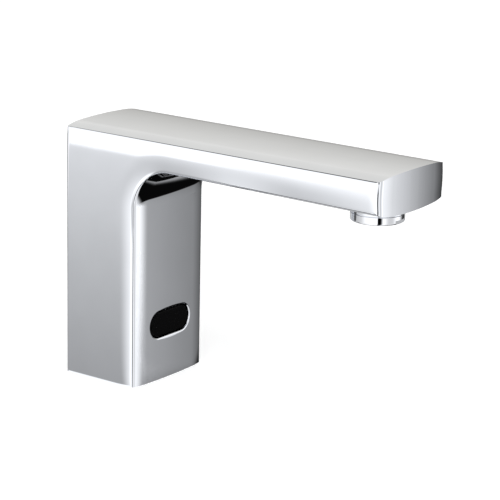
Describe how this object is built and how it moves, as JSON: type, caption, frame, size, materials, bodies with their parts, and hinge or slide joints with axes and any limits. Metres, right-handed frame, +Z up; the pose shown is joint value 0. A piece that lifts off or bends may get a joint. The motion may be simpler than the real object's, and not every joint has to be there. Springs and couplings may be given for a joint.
{
  "type": "sensor tap",
  "caption": "Touch-free deck tap: a boxy column with a long flat spout, an infrared eye low on its front, an inner solenoid valve and a screw-in aerator.",
  "frame": {"origin": "middle of the column's foot, in the deck's plane and over the middle of the deck hole", "axes": "+Z up, -Y along the spout towards the user, +X to the user's right when the user faces the tap"},
  "size_m": [0.0532, 0.1735, 0.121],
  "materials": {
    "polished_chrome": "mirror-polished chrome plate over cast brass",
    "aerator_chrome": "mirror-polished chrome plate over turned brass",
    "eye_black": "gloss infrared-pass plastic",
    "case_black": "moulded, fine grain",
    "acetal_white": "moulded acetal, satin",
    "aerator_grey": "moulded, satin",
    "rubber_black": "moulded EPDM, matt",
    "turned_brass": "turned and cast, unplated",
    "stainless": "drawn stainless steel",
    "spring_steel": "drawn spring wire",
    "zinc_steel": "bright zinc plate",
    "board_green": "solder mask, satin",
    "coil_copper": "enamelled copper winding",
    "magnet_nickel": "nickel plate",
    "diode_clear": "clear epoxy",
    "diode_dark": "dark epoxy",
    "diode_red": "tinted epoxy",
    "lead_grey": "extruded sleeve"
  },
  "bodies": {
    "tap_body": {"body_shell": "polished_chrome", "base_plate": "zinc_steel", "base_gasket": "rubber_black", "base_screws": "zinc_steel", "cable_grommet": "rubber_black", "inlet_connector": "turned_brass", "inlet_filter": "stainless", "check_valve_seat": "acetal_white", "check_valve_cage": "acetal_white", "check_valve_spring": "spring_steel", "valve_body": "turned_brass", "valve_diaphragm": "rubber_black", "diaphragm_spring": "spring_steel", "solenoid_bonnet": "stainless", "solenoid_screws": "zinc_steel", "plunger_spring": "spring_steel", "solenoid_stop": "stainless", "latching_magnet": "magnet_nickel", "solenoid_yoke": "zinc_steel", "coil_bobbin": "case_black", "coil_winding": "coil_copper", "outlet_tube": "stainless", "tube_seal_lower": "rubber_black", "tube_seal_upper": "rubber_black", "sensor_window": "eye_black", "sensor_seal": "rubber_black", "sensor_housing": "case_black", "sensor_board": "board_green", "ir_emitter": "diode_clear", "ir_receiver": "diode_dark", "status_led": "diode_red", "sensor_bracket": "zinc_steel", "bracket_screws": "zinc_steel", "solenoid_lead": "lead_grey"},
    "plunger": {"solenoid_plunger": "stainless", "plunger_tip": "rubber_black"},
    "diaphragm": {"diaphragm_core": "acetal_white"},
    "check_poppet": {"check_valve_poppet": "acetal_white"},
    "aerator_stack": {"aerator_mesh": "aerator_grey", "aerator_insert": "aerator_grey", "aerator_washer": "rubber_black"},
    "aerator_ring": {"aerator_housing": "aerator_chrome"}
  },
  "joints": [
    {"name": "plunger_lift", "type": "slide", "parent": "tap_body", "child": "plunger", "axis": [0, 0, 1], "range_m": [0, 0.0015], "stiffness_N_per_m": 300, "springref_m": -0.004, "deforming": ["plunger_spring"]},
    {"name": "diaphragm_lift", "type": "slide", "parent": "tap_body", "child": "diaphragm", "axis": [0, 0, 1], "range_m": [0, 0.0012], "stiffness_N_per_m": 200, "springref_m": -0.003, "deforming": ["diaphragm_spring"]},
    {"name": "check_lift", "type": "slide", "parent": "tap_body", "child": "check_poppet", "axis": [0, 0, 1], "range_m": [0, 0.002], "stiffness_N_per_m": 120, "springref_m": -0.002, "deforming": ["check_valve_spring"]},
    {"name": "aerator_drop", "type": "slide", "parent": "tap_body", "child": "aerator_stack", "axis": [0, 0, -1], "range_m": [0, 0.005]},
    {"name": "aerator_unscrew", "type": "hinge", "parent": "aerator_stack", "child": "aerator_ring", "pos_m": [0, -0.1343, 0.0976], "axis": [0, 0, -1], "range_deg": [0, 1800]}
  ],
  "couplings": [
    {"joint": "aerator_drop", "follows": "aerator_unscrew", "m_per_rad": 0.00015915}
  ]
}
